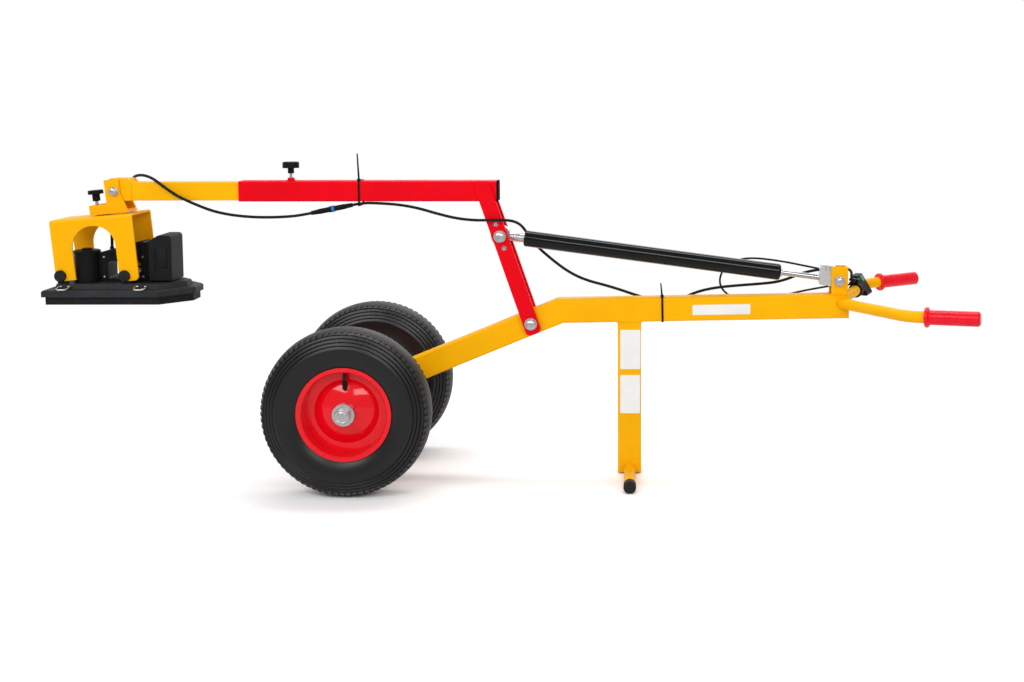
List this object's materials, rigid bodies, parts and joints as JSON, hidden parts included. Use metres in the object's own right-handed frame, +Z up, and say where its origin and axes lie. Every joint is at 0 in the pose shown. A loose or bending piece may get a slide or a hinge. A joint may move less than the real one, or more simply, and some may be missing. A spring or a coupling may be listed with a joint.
{
  "type": "vacuum tile lifter",
  "caption": "Wheeled hand trolley whose hinged, telescopic boom lifts paving tiles with a battery suction head, held by a lockable strut.",
  "frame": {"origin": "on the floor, in the middle of the whole without its loose cables", "axes": "+X to the handles, +Y to the side away from the camera, +Z up"},
  "size_m": [2.1968, 0.6512, 0.7975],
  "materials": {
    "yellow_paint": "gloss powder coat",
    "red_paint": "gloss powder coat",
    "black_paint": "gloss enamel",
    "zinc_steel": "zinc plated",
    "chrome_rod": "hard chromed",
    "alloy": "milled",
    "tyre_rubber": "moulded",
    "soft_rubber": "matt",
    "black_plastic": "moulded",
    "red_grip": "moulded",
    "green_plastic": "moulded",
    "bronze": "sintered"
  },
  "bodies": {
    "chassis": {"chassis_beam": "yellow_paint", "rear_bracket": "yellow_paint", "stand_leg": "yellow_paint", "foot_caps": "soft_rubber", "axle": "zinc_steel", "pivot_bush": "bronze", "handlebar_near": "yellow_paint", "handlebar_far": "yellow_paint", "hand_grips": "red_grip", "rear_bolt": "zinc_steel", "switch_box": "black_plastic", "lever_perch": "black_plastic", "beam_cable_tie": "black_plastic", "cable_rear": "soft_rubber", "release_cable": "soft_rubber"},
    "boom": {"link_plates": "red_paint", "outer_tube": "red_paint", "tube_end_plug": "black_plastic", "link_bolts": "zinc_steel", "arm_cable_tie": "black_plastic", "cable_connector": "black_plastic", "cable_lead": "soft_rubber", "cable_link": "soft_rubber"},
    "arm": {"telescopic_tube": "yellow_paint", "arm_hub": "yellow_paint", "cable_arm": "soft_rubber"},
    "clamp": {"clamp_knob": "black_plastic", "clamp_screw": "zinc_steel"},
    "bracket": {"swivel_bracket": "yellow_paint", "head_bolts": "zinc_steel", "plunger_sleeve": "zinc_steel"},
    "plunger": {"index_plunger": "black_plastic"},
    "head": {"head_frame": "yellow_paint", "cross_rods": "zinc_steel", "rod_caps": "soft_rubber", "unit_base": "black_plastic", "rubber_seal": "soft_rubber", "motor_can": "black_paint", "unit_body": "black_plastic", "cable_head": "soft_rubber"},
    "battery": {"battery": "black_plastic"},
    "release_button": {"release_button": "black_plastic"},
    "strut_rod": {"piston_rod": "chrome_rod", "release_head": "alloy"},
    "strut_barrel": {"strut_barrel": "black_paint", "barrel_eye": "zinc_steel"},
    "switch_button": {"switch_button": "green_plastic"},
    "release_lever": {"release_lever": "black_plastic"},
    "wheel_near": {"tyre_near": "tyre_rubber", "inner_tube_near": "soft_rubber", "rim_near": "red_paint", "hub_near": "zinc_steel"},
    "ring_front_near": {"lashing_ring_front_near": "zinc_steel"},
    "ring_rear_near": {"lashing_ring_rear_near": "zinc_steel"},
    "wheel_far": {"tyre_far": "tyre_rubber", "inner_tube_far": "soft_rubber", "rim_far": "red_paint", "hub_far": "zinc_steel"},
    "ring_front_far": {"lashing_ring_front_far": "zinc_steel"},
    "ring_rear_far": {"lashing_ring_rear_far": "zinc_steel"}
  },
  "joints": [
    {"name": "wheel_near_spin", "type": "hinge", "parent": "chassis", "child": "wheel_near", "pos_m": [-0.35042, -0.178, 0.2], "axis": [0, 1, 0], "continuous": true},
    {"name": "wheel_far_spin", "type": "hinge", "parent": "chassis", "child": "wheel_far", "pos_m": [-0.35042, 0.178, 0.2], "axis": [0, 1, 0], "continuous": true},
    {"name": "boom_lift", "type": "hinge", "parent": "chassis", "child": "boom", "pos_m": [0.07158, 0, 0.37882], "axis": [0, 1, 0], "range_deg": [-26, 8], "deforming": ["cable_link"]},
    {"name": "strut_tilt", "type": "hinge", "parent": "chassis", "child": "strut_rod", "pos_m": [0.82858, 0, 0.48278], "axis": [0, 1, 0], "range_deg": [-4, 1.4], "deforming": ["release_cable"]},
    {"name": "strut_slide", "type": "slide", "parent": "strut_rod", "child": "strut_barrel", "axis": [0.991, 0, -0.1336], "range_m": [-0.086, 0.028]},
    {"name": "arm_slide", "type": "slide", "parent": "boom", "child": "arm", "axis": [-1, 0, 0], "range_m": [-0.13, 0.15], "deforming": ["cable_lead"]},
    {"name": "clamp_turn", "type": "hinge", "parent": "boom", "child": "clamp", "pos_m": [-0.51642, 0, 0.75502], "axis": [0, 0, 1], "range_deg": [0, 360]},
    {"name": "head_tilt", "type": "hinge", "parent": "arm", "child": "bracket", "pos_m": [-0.94142, 0, 0.70602], "axis": [0, 1, 0], "range_deg": [-12, 27], "deforming": ["cable_arm"]},
    {"name": "head_swivel", "type": "hinge", "parent": "bracket", "child": "head", "pos_m": [-0.94142, 0, 0.70602], "axis": [-0.0872, 0, 0.9962], "range_deg": [-60, 60], "deforming": ["cable_head"]},
    {"name": "plunger_slide", "type": "slide", "parent": "bracket", "child": "plunger", "axis": [-0.0872, 0, 0.9962], "range_m": [-0.008, 0]},
    {"name": "battery_slide", "type": "slide", "parent": "head", "child": "battery", "axis": [0, 0, 1], "range_m": [0, 0.07]},
    {"name": "release_press", "type": "slide", "parent": "head", "child": "release_button", "axis": [0, 0, -1], "range_m": [0, 0.003], "stiffness_N_per_m": 300, "springref_m": -0.002},
    {"name": "switch_press", "type": "slide", "parent": "chassis", "child": "switch_button", "axis": [-0.7572, 0.3844, -0.5281], "range_m": [0, 0.0015], "stiffness_N_per_m": 400, "springref_m": -0.001},
    {"name": "lever_pull", "type": "hinge", "parent": "chassis", "child": "release_lever", "pos_m": [0.90456, 0.16134, 0.45694], "axis": [0.9011, -0.4337, 0], "range_deg": [0, 14], "stiffness_Nm_per_rad": 0.5, "springref_deg": -5.73},
    {"name": "ring_front_near_swing", "type": "hinge", "parent": "head", "child": "ring_front_near", "pos_m": [-1.04942, -0.075, 0.47902], "axis": [-1, 0, 0], "range_deg": [0, 28]},
    {"name": "ring_front_far_swing", "type": "hinge", "parent": "head", "child": "ring_front_far", "pos_m": [-1.04942, 0.075, 0.47902], "axis": [1, 0, 0], "range_deg": [0, 28]},
    {"name": "ring_rear_near_swing", "type": "hinge", "parent": "head", "child": "ring_rear_near", "pos_m": [-0.86442, -0.075, 0.47902], "axis": [-1, 0, 0], "range_deg": [0, 28]},
    {"name": "ring_rear_far_swing", "type": "hinge", "parent": "head", "child": "ring_rear_far", "pos_m": [-0.86442, 0.075, 0.47902], "axis": [1, 0, 0], "range_deg": [0, 28]}
  ],
  "couplings": [
    {"joint": "strut_tilt", "follows": "boom_lift", "ratio": 0.145},
    {"joint": "strut_slide", "follows": "boom_lift", "m_per_rad": 0.184}
  ]
}
